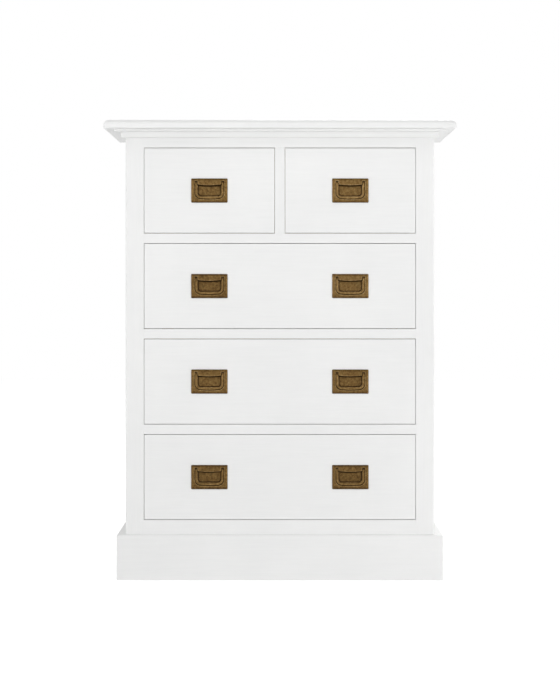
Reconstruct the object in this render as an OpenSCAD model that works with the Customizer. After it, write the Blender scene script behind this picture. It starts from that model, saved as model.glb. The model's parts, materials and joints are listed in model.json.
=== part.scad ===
// Chest of drawers with two small drawers over three full-width ones.
// The origin is on the floor under the middle of the top; the front faces -Y and Z is up.
// All sizes are in millimetres.

/* [Carcass] */
// Width of the opening of a full-width drawer
opening_w = 713; // [560:1:1000]
// Width of each front stile
stile_w = 48; // [35:0.5:80]
// Depth of the carcass from its front face to its back edge
carcass_d = 397; // [385:1:520]
// Thickness of the stiles and of the upright rails
frame_t = 22; // [18:1:30]
// Thickness of each side panel
side_t = 18; // [12:1:25]
// Height of a rail between two rows of drawers
rail_h = 25.5; // [18:0.1:40]
// Depth of a rail between two rows of drawers
rail_d = 60; // [45:1:90]
// Width of the muntin between the small drawers
muntin_w = 26; // [18:0.5:60]
// Height of the lowest opening above the floor
sill_z = 154.9; // [140:0.1:200]
// Height of the bottom rail
bottom_rail_h = 60; // [40:1:75]
// Height of the top rail
top_rail_h = 47; // [42:0.1:80]
// Thickness of the bottom board
bottom_board_t = 15; // [9:1:18]

/* [Top board] */
// Thickness of the top board
top_t = 22; // [18:0.5:35]
// How far the top board passes the carcass at the front and the sides
top_overhang = 53; // [40:1:80]
// Radius of the top board's upper edge
top_edge_r = 14.5; // [4:0.5:15]

/* [Cornice] */
// Height of the fillet under the top board
fillet_h = 6; // [5:0.5:12]
// How far the fillet stands out from the carcass
fillet_out = 27.5; // [22:0.5:35]
// How far the flat band below the fillet stands out from the carcass
band_out = 11; // [8:0.5:18]
// Height of the band
band_h = 15.5; // [8:0.5:25]
// Radius of the band's lower edge
band_r = 1.5; // [0.5:0.5:4]

/* [Plinth] */
// Height of the plinth boards
plinth_h = 118; // [80:0.5:130]
// Thickness of the plinth boards
plinth_t = 22; // [15:1:30]
// Radius of the plinth's upper outer edge
plinth_edge_r = 3; // [1:0.5:8]

/* [Back] */
// Thickness of the back panel
back_t = 6; // [4:1:12]
// How far the back panel lies inside the side panels' rear edges
back_inset = 3; // [2.5:0.5:6]
// How far the back panel is let into each side panel
back_lap = 9; // [5:1:11]
// Height of the back panel's lower edge above the floor
back_foot = 60; // [20:1:90]
// Depth of the rails along the back
rear_rail_d = 40; // [35:1:60]

/* [Drawers] */
// Height of a drawer front
front_h = 222.1; // [180:0.1:300]
// Thickness of a drawer front
front_t = 22; // [20:1:28]
// Gap at each side of a drawer front
front_gap = 0.9; // [0.8:0.1:4]
// Gap above and below a drawer front
front_gap_z = 1.4; // [1:0.1:4]
// Gap between a closed drawer and the back panel
drawer_back_gap = 18; // [12:1:90]
// Thickness of a drawer side
drawer_side_t = 13; // [10:1:18]
// How far a drawer side stays below the top of its opening
drawer_side_drop = 10.5; // [4:0.5:60]
// Thickness of a drawer back
drawer_back_t = 13; // [10:1:18]
// How far a drawer back stays below the drawer sides
drawer_back_drop = 10; // [0:1:30]
// Thickness of a drawer bottom
drawer_bottom_t = 6; // [4:1:9]
// Height of a drawer bottom above the lower edge of the drawer sides
drawer_bottom_rise = 12; // [10:1:20]
// Depth of the grooves that hold a drawer bottom
groove_d = 6; // [3:0.5:8]
// Clearance of a drawer bottom in its grooves
groove_clear = 0.1; // [0.05:0.05:0.5]
// Gap between a drawer side and its runner
run_gap = 0.3; // [0.2:0.1:1]

/* [Dovetails] */
// Number of tails at the front of a drawer side
tail_count = 4; // [3:1:5]
// Width of a tail where it leaves the drawer side
tail_w = 26; // [18:1:30]
// How much wider a tail is on each edge at its end
tail_flare = 2.5; // [1:0.5:4]
// Length of a tail
tail_l = 15; // [10:1:17]
// Clearance of a tail in its socket
tail_clear = 0.1; // [0.05:0.05:0.3]

/* [Runners] */
// How far a runner reaches in past the edge of the opening
runner_reach = 22; // [18:1:40]
// Height of the guide that stands on a runner
guide_h = 20; // [12:1:40]
// Width of a drawer stop
stop_w = 30; // [20:1:50]
// Depth of a drawer stop
stop_d = 12; // [8:1:20]
// Height of a drawer stop above the rail
stop_h = 8; // [5:1:9]
// Distance from each end of a drawer front to the middle of its stop
stop_inset = 60; // [45:1:90]

/* [Blocks and back screws] */
// Width and depth of a glue block
block_w = 30; // [20:1:36]
// Height of a glue block under the bottom board
block_h = 80; // [40:1:80]
// Radius of a back screw's shank
screw_r = 1.75; // [1.5:0.25:2.5]
// Length of a back screw's shank
screw_l = 30; // [20:1:35]
// Radius of a back screw's head
screw_head_r = 4; // [3.5:0.5:5]
// Height of a back screw's head
screw_head_h = 2; // [1.5:0.1:2.4]
// Clearance of a screw in its hole
screw_clear = 0.1; // [0.05:0.05:0.3]
// Distance from the middle of the back to the inner screws
screw_inner_x = 110; // [60:1:150]
// Distance from the middle of the back to the outer screws
screw_outer_x = 320; // [200:1:340]

/* [Pull plate] */
// Width of a pull's plate
plate_w = 95.5; // [90:0.5:110]
// Height of a pull's plate
plate_h = 63.5; // [60:0.5:75]
// Thickness of a pull's plate
plate_t = 3; // [2.6:0.1:4]
// Radius of the plate's rounded edges and corners
plate_r = 2.5; // [1:0.1:2.6]
// Width of the tray behind the plate
tray_w = 86; // [84:0.5:89]
// Height of the tray behind the plate
tray_h = 55; // [52:0.5:59]
// Depth of the tray behind the plate
tray_d = 10.5; // [9:0.5:13]
// Thickness of the tray's floor behind the finger cup
tray_floor = 2.5; // [1.5:0.1:4]
// Clearance of the tray in the drawer front
tray_clear = 0.3; // [0.1:0.1:1]
// Width of the finger cup
cup_w = 64; // [50:0.5:66]
// Radius of the finger cup's lower corners
cup_r = 10; // [4:0.5:12]
// Depth of the finger cup's lower edge below the plate's centre
cup_drop = 15.8; // [8:0.1:16.5]
// Gap between the lip and the bail's arms
lip_gap = 1.1; // [0.5:0.1:5]
// Height of the lip's lower edge above the plate's centre, at its middle
lip_z = 13.8; // [9:0.1:15.5]
// How much the lip's lower edge bows down at its middle
lip_bow = 2; // [0.5:0.1:4]
// Gap between the bail's knuckles and the upper edge of their notches
notch_gap = 2.3; // [0.5:0.1:3]

/* [Bail] */
// Width of the bail across its arms
bail_w = 75; // [74:0.5:78]
// Width of the bail's bar
bail_bar_w = 5.2; // [4.5:0.1:7]
// Thickness of the bail's bar
bail_bar_t = 4.4; // [3.5:0.1:4.6]
// Radius of the knuckle at the end of each arm
knuckle_r = 2.5; // [2:0.1:2.6]
// Radius of the bail's corners on the middle of its bar
bail_corner_r = 12; // [8:0.5:16]
// Half of the angle through which the bottom of the bail bows
bail_bow = 6; // [3:0.5:12]
// Depth of the bail's lower edge below the plate's centre
bail_drop = 22; // [21:0.1:23]
// Height of the pivot above the plate's centre
pivot_z = 19.8; // [16:0.1:20.5]
// How far the pivot lies in front of the drawer front
pivot_out = 0.5; // [0.2:0.1:1]
// Radius of the bail's pins
pin_r = 1.6; // [1.2:0.1:1.8]
// Running clearance of a pin in its bore
pin_clear = 0.05; // [0.02:0.01:0.1]
// Length of a pin inside its bore
pin_grip = 2.5; // [1.5:0.1:2.8]
// Gap between the bail and the edge of its groove
bail_gap = 1.3; // [0.5:0.1:1.5]
// Gap between the bail and the floor of its groove
bail_floor_gap = 0.8; // [0.7:0.1:1.2]

/* [Pull screws] */
// Distance from a pull's middle to each of its screws
pull_screw_x = 20; // [12:0.5:24]
// Radius of a pull screw's shank
pull_screw_r = 2; // [1.5:0.25:2.2]
// Radius of a pull screw's head
pull_head_r = 4; // [3:0.5:5]
// Height of a pull screw's head
pull_head_h = 2.5; // [2:0.1:3]
// How far a pull screw reaches into the tray
pull_screw_grip = 5; // [3:0.5:6]

/* [Hidden] */
$fn = 64;

// Overshoot of a cutting solid, so that no two faces coincide in a cut
cut = 1;
paint = "white";
bare_wood = "burlywood";
metal = "darkgoldenrod";

// Heights of the openings
opening_h = front_h + 2 * front_gap_z;
row_pitch = opening_h + rail_h;
row_count = 4;
small_row = row_count - 1;
carcass_h = sill_z + row_count * opening_h + small_row * rail_h + top_rail_h;
head_z = carcass_h - top_rail_h;
kicker_z = head_z + rail_h;
function row_z(row) = sill_z + row * row_pitch;

// Places across and along the carcass
carcass_w = opening_w + 2 * stile_w;
side_in = carcass_w / 2 - side_t;
opening_in = opening_w / 2;
top_w = carcass_w + 2 * top_overhang;
top_d = carcass_d + top_overhang;
back_y = top_d / 2;
front_y = back_y - carcass_d;
frame_y = front_y + frame_t;
rail_y = front_y + rail_d;
panel_y = back_y - back_inset - back_t;
rear_y = panel_y - rear_rail_d;
board_z = sill_z - rail_h;

// A drawer is [middle, width of the front, row, middles of its pulls]
small_opening_w = (opening_w - muntin_w) / 2;
small_x = (muntin_w + small_opening_w) / 2;
small_w = small_opening_w - 2 * front_gap;
wide_w = opening_w - 2 * front_gap;
small_left = [-small_x, small_w, small_row, [-small_x]];
small_right = [small_x, small_w, small_row, [small_x]];
upper = [0, wide_w, 2, [-small_x, small_x]];
middle = [0, wide_w, 1, [-small_x, small_x]];
lower = [0, wide_w, 0, [-small_x, small_x]];
left_end = [-1];
right_end = [1];
both_ends = [-1, 1];

// Parts of a drawer, measured from its front and its runner
box_z = run_gap;
side_y = front_y + front_t;
drawer_back_y = panel_y - drawer_back_gap;
drawer_side_h = opening_h - box_z - drawer_side_drop;
bottom_z = box_z + drawer_bottom_rise;
back_z = bottom_z + drawer_bottom_t;
tail_pitch = drawer_side_h / tail_count;

// Outline of the bail and of its groove: each corner's arc passes the bow's arc a little, so that they cross
arc_pass = 0.05;
arm_x = (bail_w - bail_bar_w) / 2;
corner_x = arm_x - bail_corner_r;
bow_r = (corner_x + bail_corner_r * sin(bail_bow)) / sin(bail_bow);
bow_z = -bail_drop + bail_bar_w / 2 + bow_r;
corner_z = bow_z - (bow_r - bail_corner_r) * cos(bail_bow) - arc_pass;
groove_off = bail_bar_w / 2 + bail_gap;
groove_out = pivot_out - bail_bar_t / 2 - bail_floor_gap;
lip_w = bail_w - 2 * (bail_bar_w + lip_gap);
lip_r = (pow(lip_w / 2, 2) + pow(lip_bow, 2)) / (2 * lip_bow);
notch_z = pivot_z + knuckle_r + notch_gap;

// A box between two corners
module block(low, high) {
    translate(low) cube(high - low);
}

// A square with one rounded corner: its far upper one
module soft_corner(w, h, r) {
    square([w - r, h]);
    square([w, h - r]);
    translate([w - r, h - r]) intersection() {
        circle(r);
        square(r);
    }
}

// Plan of a moulding that goes round the front and the sides, cut at its mitres
module front_plan(out) {
    polygon([
        [-carcass_w / 2, front_y], [carcass_w / 2, front_y],
        [carcass_w / 2 + out, front_y - out], [-carcass_w / 2 - out, front_y - out]
    ]);
}

module side_plan(out) {
    polygon([
        [carcass_w / 2, front_y], [carcass_w / 2 + out, front_y - out],
        [carcass_w / 2 + out, back_y], [carcass_w / 2, back_y]
    ]);
}

// A profile, drawn out from the carcass and up, run along the front or along the right side
module front_run(out, low, high) {
    intersection() {
        translate([-carcass_w / 2 - out, front_y, 0]) rotate([90, 0, 90])
            linear_extrude(carcass_w + 2 * out) mirror([1, 0]) children();
        translate([0, 0, low]) linear_extrude(high - low) front_plan(out);
    }
}

module side_run(out, low, high) {
    intersection() {
        translate([carcass_w / 2, back_y, 0]) rotate([90, 0, 0])
            linear_extrude(carcass_d + out) children();
        translate([0, 0, low]) linear_extrude(high - low) side_plan(out);
    }
}

module cornice_profile() {
    translate([0, carcass_h - fillet_h]) {
        square([fillet_out, fillet_h]);
        mirror([0, 1]) soft_corner(band_out, band_h, band_r);
    }
}

module plinth_profile() {
    soft_corner(plinth_t, plinth_h, plinth_edge_r);
}

module top_board() {
    color(paint) intersection() {
        translate([0, back_y, carcass_h]) rotate([90, 0, 0]) linear_extrude(top_d) {
            soft_corner(top_w / 2, top_t, top_edge_r);
            mirror([1, 0]) soft_corner(top_w / 2, top_t, top_edge_r);
        }
        translate([-top_w / 2, back_y, carcass_h]) rotate([90, 0, 90])
            linear_extrude(top_w) mirror([1, 0]) soft_corner(top_d, top_t, top_edge_r);
    }
}

module cornice_front() {
    color(paint) front_run(fillet_out, 0, carcass_h) cornice_profile();
}

module cornice_right() {
    color(paint) side_run(fillet_out, 0, carcass_h) cornice_profile();
}

module cornice_left() {
    mirror([1, 0, 0]) cornice_right();
}

module stile_right() {
    color(paint) block([opening_in, front_y, 0], [carcass_w / 2, frame_y, carcass_h]);
}

module stile_left() {
    mirror([1, 0, 0]) stile_right();
}

module top_rail() {
    color(paint) block([-opening_in, front_y, head_z], [opening_in, frame_y, carcass_h]);
}

module bottom_rail() {
    color(paint) block([-opening_in, front_y, sill_z - bottom_rail_h], [opening_in, frame_y, sill_z]);
}

// Each rail is notched round the stiles, so that it also meets the side panels
module divider_rails() {
    color(paint) for (row = [1:small_row]) {
        block([-opening_in, front_y, row_z(row) - rail_h], [opening_in, rail_y, row_z(row)]);
        block([-side_in, frame_y, row_z(row) - rail_h], [side_in, rail_y, row_z(row)]);
    }
}

module center_muntin() {
    color(paint) block([-muntin_w / 2, front_y, row_z(small_row)], [muntin_w / 2, frame_y, head_z]);
}

module side_right() {
    color(paint) difference() {
        block([side_in, frame_y, 0], [carcass_w / 2, back_y, carcass_h]);
        block([side_in - cut, panel_y, back_foot], [side_in + back_lap, back_y + cut, carcass_h + cut]);
    }
}

module side_left() {
    mirror([1, 0, 0]) side_right();
}

// Places of the screws that hold the back panel to the rear rails
module at_back_screws() {
    for (top = rear_rail_tops(), x = [screw_inner_x, screw_outer_x], end = both_ends)
        translate([end * x, back_y - back_inset, top - rail_h / 2]) rotate([90, 0, 0]) children();
}

module back_panel() {
    color(bare_wood) difference() {
        block([-side_in - back_lap, panel_y, back_foot],
            [side_in + back_lap, back_y - back_inset, carcass_h]);
        at_back_screws() translate([0, 0, -cut]) cylinder(r = screw_r + screw_clear, h = back_t + 2 * cut);
    }
}

module back_screws() {
    color("silver") at_back_screws() {
        translate([0, 0, -screw_head_h]) cylinder(r = screw_head_r, h = screw_head_h);
        cylinder(r = screw_r, h = screw_l);
    }
}

module bottom_board() {
    color(bare_wood) block([-side_in, frame_y, board_z - bottom_board_t], [side_in, panel_y, board_z]);
}

module plinth_front() {
    color(paint) front_run(plinth_t, 0, plinth_h) plinth_profile();
}

module plinth_right() {
    color(paint) side_run(plinth_t, 0, plinth_h) plinth_profile();
}

module plinth_left() {
    mirror([1, 0, 0]) plinth_right();
}

// A runner with the guide that keeps the drawer straight, both against the right side panel
module side_runner(row) {
    start = row == 0 ? frame_y : rail_y;
    block([opening_in - runner_reach, start, row_z(row) - rail_h], [side_in, rear_y, row_z(row)]);
    block([opening_in, frame_y, row_z(row)], [side_in, rear_y, row_z(row) + guide_h]);
}

module center_runner() {
    reach = muntin_w / 2 + runner_reach;
    block([-reach, rail_y, row_z(small_row) - rail_h], [reach, rear_y, row_z(small_row)]);
    block([-muntin_w / 2, frame_y, row_z(small_row)], [muntin_w / 2, rear_y, row_z(small_row) + guide_h]);
}

// The strips over the small drawers keep these from tipping when they are pulled out
module kickers() {
    reach = muntin_w / 2 + runner_reach;
    for (end = [0, 1]) mirror([end, 0, 0])
        block([opening_in - runner_reach, frame_y, head_z], [side_in, rear_y, kicker_z]);
    block([-reach, frame_y, head_z], [reach, rear_y, kicker_z]);
}

module drawer_runners() {
    color(bare_wood) {
        for (row = [0:small_row], end = [0, 1]) mirror([end, 0, 0]) side_runner(row);
        center_runner();
        kickers();
    }
}

function rear_rail_tops() = concat([for (row = [0:small_row]) row_z(row)], [kicker_z]);

module rear_rails() {
    color(bare_wood) difference() {
        for (top = rear_rail_tops())
            block([-side_in, rear_y, top - rail_h], [side_in, panel_y, top]);
        at_back_screws() cylinder(r = screw_r + screw_clear, h = screw_l + cut);
    }
}

// Blocks in the corners under the bottom board and under the top board
module glue_blocks() {
    board_foot = board_z - bottom_board_t;
    color(bare_wood) for (end = [0, 1], y = [frame_y, panel_y - block_w]) mirror([end, 0, 0]) {
        block([side_in - block_w, y, board_foot - block_h], [side_in, y + block_w, board_foot]);
        block([side_in - block_w, y, kicker_z], [side_in, y + block_w, carcass_h]);
    }
}

// The stops meet the back of a closed drawer front below the drawer's bottom
module stops(drawer) {
    row = drawer[2];
    foot = row == 0 ? board_z : row_z(row);
    reach = drawer[1] / 2 - stop_inset;
    for (end = both_ends) translate([drawer[0] + end * reach, side_y + run_gap, 0])
        block([-stop_w / 2, 0, foot], [stop_w / 2, stop_d, row_z(row) + stop_h]);
}

module drawer_stops() {
    color(bare_wood) for (drawer = [small_left, small_right, upper, middle, lower]) stops(drawer);
}

// Tails at the front of a drawer side, seen from its outer face
module tails(grow) {
    for (i = [0:tail_count - 1]) translate([0, (i + 0.5) * tail_pitch]) polygon([
        [cut, -tail_w / 2 - grow], [0, -tail_w / 2 - grow],
        [-tail_l - grow, -tail_w / 2 - tail_flare - grow], [-tail_l - grow, tail_w / 2 + tail_flare + grow],
        [0, tail_w / 2 + grow], [cut, tail_w / 2 + grow]
    ]);
}

// The tails of a drawer's right side, in place; its sockets are a clearance larger and open at the end
module tail_row(drawer, grow, open) {
    side_x = drawer[0] + drawer[1] / 2 - drawer_side_t;
    translate([side_x - grow, side_y, row_z(drawer[2]) + box_z]) rotate([90, 0, 90])
        linear_extrude(drawer_side_t + grow + open) tails(grow);
}

// A drawer's bottom; its grooves are a clearance larger and open at the back
module bottom_space(drawer, grow, open) {
    half = drawer[1] / 2 - drawer_side_t + groove_d - groove_clear + grow;
    low = row_z(drawer[2]) + bottom_z;
    block([drawer[0] - half, side_y - groove_d + groove_clear - grow, low - grow],
        [drawer[0] + half, drawer_back_y + open, low + drawer_bottom_t + grow]);
}

// Turns a drawer's right end into its left one
module both_sides(drawer) {
    children();
    translate([2 * drawer[0], 0, 0]) mirror([1, 0, 0]) children();
}

module drawer_front(drawer) {
    low = row_z(drawer[2]) + front_gap_z;
    color(paint) difference() {
        block([drawer[0] - drawer[1] / 2, front_y, low],
            [drawer[0] + drawer[1] / 2, side_y, low + front_h]);
        both_sides(drawer) tail_row(drawer, tail_clear, cut);
        bottom_space(drawer, groove_clear, 0);
        at_pulls(drawer) {
            translate([0, 0, -tray_d - tray_clear]) linear_extrude(tray_d + tray_clear + cut)
                square([tray_w + 2 * tray_clear, tray_h + 2 * tray_clear], center = true);
            at_pull_screws() cylinder(r = pull_screw_r + screw_clear, h = front_t + cut);
        }
    }
}

module drawer_sides(drawer) {
    color(bare_wood) both_sides(drawer) difference() {
        union() {
            translate([drawer[0] + drawer[1] / 2 - drawer_side_t, side_y, row_z(drawer[2]) + box_z])
                cube([drawer_side_t, drawer_back_y - side_y, drawer_side_h]);
            tail_row(drawer, 0, 0);
        }
        bottom_space(drawer, groove_clear, cut);
    }
}

module drawer_back(drawer) {
    half = drawer[1] / 2 - drawer_side_t;
    low = row_z(drawer[2]);
    color(bare_wood) block([drawer[0] - half, drawer_back_y - drawer_back_t, low + back_z],
        [drawer[0] + half, drawer_back_y, low + box_z + drawer_side_h - drawer_back_drop]);
}

module drawer_bottom(drawer) {
    color(bare_wood) bottom_space(drawer, 0, 0);
}

// Puts a pull, drawn with X to the right, Y up and Z out, on a drawer front
module at_pulls(drawer) {
    for (x = drawer[3]) at_pull(drawer, x) children();
}

module at_pull(drawer, x) {
    translate([x, front_y, row_z(drawer[2]) + opening_h / 2]) rotate([90, 0, 0]) children();
}

// The screws come from inside the drawer, through its front, into the tray above the finger cup
module at_pull_screws() {
    for (end = both_ends) translate([end * pull_screw_x, pivot_z, -front_t]) children();
}

// The outline at a distance from the middle of the bail's bar, up to a height
module bail_outline(off, high) {
    bow_x = (bow_r + off) * sin(bail_bow);
    translate([-arm_x - off, corner_z]) square([2 * (arm_x + off), high - corner_z]);
    for (end = both_ends) translate([end * corner_x, corner_z]) circle(bail_corner_r + off);
    intersection() {
        translate([0, bow_z]) circle(bow_r + off, $fn = 360);
        translate([-bow_x, corner_z - bow_r]) square([2 * bow_x, bow_r + cut]);
    }
}

// The lip that hangs between the two arms of the bail
module lip_outline() {
    intersection() {
        translate([-lip_w / 2, lip_z - cut]) square([lip_w, plate_h]);
        translate([0, lip_z + lip_r]) circle(lip_r, $fn = 360);
    }
}

module cup_outline() {
    translate([-cup_w / 2, -cup_drop + cup_r]) square([cup_w, cup_drop - cup_r + lip_z + lip_bow]);
    translate([-cup_w / 2 + cup_r, -cup_drop]) square([cup_w - 2 * cup_r, cup_r + cut]);
    for (end = both_ends) translate([end * (cup_w / 2 - cup_r), -cup_drop + cup_r]) circle(cup_r);
}

// A plate with rounded front edges and corners
module soft_plate(w, h, t, r) {
    intersection() {
        translate([0, h / 2, 0]) rotate([90, 0, 0]) linear_extrude(h) {
            soft_corner(w / 2, t, r);
            mirror([1, 0]) soft_corner(w / 2, t, r);
        }
        translate([-w / 2, 0, 0]) rotate([90, 0, 90]) linear_extrude(w) {
            soft_corner(h / 2, t, r);
            mirror([1, 0]) soft_corner(h / 2, t, r);
        }
        linear_extrude(t) union() {
            square([w - 2 * r, h], center = true);
            square([w, h - 2 * r], center = true);
            for (x = both_ends, y = both_ends)
                translate([x * (w / 2 - r), y * (h / 2 - r)]) circle(r);
        }
    }
}

module pull_plate() {
    bore_l = bail_w / 2 + bail_gap + pin_grip + pin_clear;
    difference() {
        union() {
            soft_plate(plate_w, plate_h, plate_t, plate_r);
            translate([-tray_w / 2, -tray_h / 2, -tray_d]) cube([tray_w, tray_h, tray_d]);
        }
        translate([0, 0, groove_out]) linear_extrude(plate_t - groove_out + cut) difference() {
            bail_outline(groove_off, notch_z);
            lip_outline();
        }
        translate([0, 0, tray_floor - tray_d]) linear_extrude(tray_d - tray_floor + plate_t + cut)
            difference() {
                cup_outline();
                lip_outline();
            }
        translate([0, pivot_z, pivot_out]) rotate([0, 90, 0])
            cylinder(r = pin_r + pin_clear, h = 2 * bore_l, center = true);
        at_pull_screws() cylinder(r = pull_screw_r + screw_clear,
            h = front_t - tray_d + pull_screw_grip + cut);
    }
}

module drawer_pulls(drawer) {
    color(metal) at_pulls(drawer) pull_plate();
}

module pull_screws(drawer) {
    color("silver") at_pulls(drawer) at_pull_screws() {
        translate([0, 0, -pull_head_h]) cylinder(r = pull_head_r, h = pull_head_h);
        cylinder(r = pull_screw_r, h = front_t - tray_d + pull_screw_grip);
    }
}

// A bail with a round knuckle and a pin at the end of each arm
module bail(drawer, x) {
    color(metal) at_pull(drawer, x) translate([0, 0, pivot_out]) {
        translate([0, 0, -bail_bar_t / 2]) difference() {
            linear_extrude(bail_bar_t) bail_outline(bail_bar_w / 2, pivot_z);
            translate([0, 0, -cut]) linear_extrude(bail_bar_t + 2 * cut)
                bail_outline(-bail_bar_w / 2, pivot_z + cut);
        }
        for (end = [0, 1]) mirror([end, 0, 0]) translate([arm_x, pivot_z, 0]) rotate([0, 90, 0]) {
            cylinder(r = knuckle_r, h = bail_bar_w, center = true);
            cylinder(r = pin_r, h = bail_bar_w / 2 + bail_gap + pin_grip);
        }
    }
}

top_board();
cornice_front();
cornice_left();
cornice_right();
stile_left();
stile_right();
top_rail();
divider_rails();
bottom_rail();
center_muntin();
side_left();
side_right();
back_panel();
bottom_board();
plinth_front();
plinth_left();
plinth_right();
drawer_runners();
rear_rails();
glue_blocks();
drawer_stops();
back_screws();
drawer_front(small_left);  // small_left_front
drawer_sides(small_left);  // small_left_sides
drawer_back(small_left);  // small_left_back
drawer_bottom(small_left);  // small_left_bottom
drawer_pulls(small_left);  // small_left_pull
pull_screws(small_left);  // small_left_screws
bail(small_left, -small_x);  // small_left_bail
drawer_front(small_right);  // small_right_front
drawer_sides(small_right);  // small_right_sides
drawer_back(small_right);  // small_right_back
drawer_bottom(small_right);  // small_right_bottom
drawer_pulls(small_right);  // small_right_pull
pull_screws(small_right);  // small_right_screws
bail(small_right, small_x);  // small_right_bail
drawer_front(upper);  // upper_front
drawer_sides(upper);  // upper_sides
drawer_back(upper);  // upper_back
drawer_bottom(upper);  // upper_bottom
drawer_pulls(upper);  // upper_pulls
pull_screws(upper);  // upper_screws
bail(upper, -small_x);  // upper_bail_left
bail(upper, small_x);  // upper_bail_right
drawer_front(middle);  // middle_front
drawer_sides(middle);  // middle_sides
drawer_back(middle);  // middle_back
drawer_bottom(middle);  // middle_bottom
drawer_pulls(middle);  // middle_pulls
pull_screws(middle);  // middle_screws
bail(middle, -small_x);  // middle_bail_left
bail(middle, small_x);  // middle_bail_right
drawer_front(lower);  // lower_front
drawer_sides(lower);  // lower_sides
drawer_back(lower);  // lower_back
drawer_bottom(lower);  // lower_bottom
drawer_pulls(lower);  // lower_pulls
pull_screws(lower);  // lower_screws
bail(lower, -small_x);  // lower_bail_left
bail(lower, small_x);  // lower_bail_right
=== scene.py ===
# Looks of a painted chest of drawers: boards and mouldings in satin paint, wooden drawer
# boxes, and cast pulls of darkened brass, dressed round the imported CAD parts.
# Lengths are in metres, +Z is up and the drawer fronts face -Y.
import json
import math
import bmesh
import bpy
import numpy as np
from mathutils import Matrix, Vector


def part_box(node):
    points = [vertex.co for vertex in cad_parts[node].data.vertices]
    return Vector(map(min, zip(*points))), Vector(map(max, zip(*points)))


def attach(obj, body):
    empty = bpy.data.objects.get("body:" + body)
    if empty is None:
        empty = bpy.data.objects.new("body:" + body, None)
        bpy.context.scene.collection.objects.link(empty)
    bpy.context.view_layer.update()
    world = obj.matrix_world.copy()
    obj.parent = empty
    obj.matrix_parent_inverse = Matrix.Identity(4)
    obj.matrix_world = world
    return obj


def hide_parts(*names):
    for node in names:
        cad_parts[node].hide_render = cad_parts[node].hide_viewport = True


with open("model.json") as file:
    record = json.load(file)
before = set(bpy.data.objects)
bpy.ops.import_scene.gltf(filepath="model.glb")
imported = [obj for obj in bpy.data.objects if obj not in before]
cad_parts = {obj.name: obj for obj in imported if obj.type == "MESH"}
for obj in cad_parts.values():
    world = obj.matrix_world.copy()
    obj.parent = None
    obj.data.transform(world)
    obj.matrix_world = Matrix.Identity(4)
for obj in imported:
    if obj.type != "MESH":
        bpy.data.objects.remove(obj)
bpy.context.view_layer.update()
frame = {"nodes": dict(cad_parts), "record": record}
nodes, record = frame["nodes"], frame["record"]
bodyOf = {node: body for body, group in record["behaviour"]["bodies"].items() for node in group}
drawerNames = ["small_left", "small_right", "upper", "middle", "lower"]
print("frame:", len(nodes), "nodes")


# --- materials ---

noiseRange = (0.3, 0.7)  # nearly all of a noise's values lie in here


def newMaterial(name):
    made = bpy.data.materials.new(name)
    made.use_nodes = True
    made.node_tree.nodes.clear()
    return made, made.node_tree


def addNode(tree, kind, values=None, **settings):
    # a value that is a socket is linked, any other is set
    made = tree.nodes.new("ShaderNode" + kind)
    for key, value in settings.items():
        setattr(made, key, value)
    for key, value in (values or {}).items():
        if isinstance(value, bpy.types.NodeSocket):
            tree.links.new(value, made.inputs[key])
        else:
            made.inputs[key].default_value = value
    return made


def objectPlace(tree, shift=(0, 0, 0), squeeze=(1, 1, 1)):
    place = addNode(tree, "TexCoord").outputs["Object"]
    return addNode(tree, "Mapping", {"Vector": place, "Location": shift, "Scale": squeeze}).outputs[0]


def alongAxis(axis, share):
    # a squeeze that draws a pattern out along one axis
    squeeze = [1.0, 1.0, 1.0]
    squeeze[axis] = share
    return squeeze


def noise(tree, place, scale, detail=4.0, roughness=0.55, distortion=0.0):
    made = addNode(tree, "TexNoise", {"Vector": place, "Scale": scale, "Detail": detail,
                                      "Roughness": roughness, "Distortion": distortion})
    return made.outputs[0]


def spread(tree, value, given, wanted=(0.0, 1.0)):
    # the given range of values becomes the wanted one, held at its ends
    made = addNode(tree, "MapRange", {"Value": value, "From Min": given[0], "From Max": given[1],
                                      "To Min": wanted[0], "To Max": wanted[1]})
    return made.outputs[0]


def combine(tree, operation, first, second):
    return addNode(tree, "Math", {0: first, 1: second}, operation=operation).outputs[0]


def shared(tree, first, second, share):
    # the first value times its share, plus the second times the rest
    return combine(tree, "ADD", combine(tree, "MULTIPLY", first, share),
                   combine(tree, "MULTIPLY", second, 1.0 - share))


def mixColour(tree, share, first, second, blend="MIX"):
    made = addNode(tree, "Mix", {0: share, 6: first, 7: second}, data_type="RGBA", blend_type=blend)
    return made.outputs[2]


def ramp(tree, value, stops):
    # stops are (place, red, green, blue), from low to high
    made = addNode(tree, "ValToRGB", {0: value})
    band = made.color_ramp.elements
    for k, (place, *colour) in enumerate(stops):
        stop = band[k] if k < 2 else band.new(place)
        stop.position, stop.color = place, (*colour, 1)
    return made.outputs[0]


def clouded(tree, colour, cloud, shades):
    # soft clouds from a darker to a lighter shade of the colour
    shade = spread(tree, noise(tree, objectPlace(tree), **cloud), noiseRange, shades)
    cover = addNode(tree, "CombineColor", {0: shade, 1: shade, 2: shade}).outputs[0]
    return mixColour(tree, 1.0, colour, cover, "MULTIPLY")


def finishMaterial(made, tree, colour, roughness, height, bumpDepth, **fixed):
    bump = addNode(tree, "Bump", {"Height": height, "Distance": bumpDepth, "Strength": 1.0})
    values = {"Base Color": colour, "Roughness": roughness, "Normal": bump.outputs[0], **fixed}
    shader = addNode(tree, "BsdfPrincipled", values)
    out = addNode(tree, "OutputMaterial")
    tree.links.new(shader.outputs[0], out.inputs[0])
    return made


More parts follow.
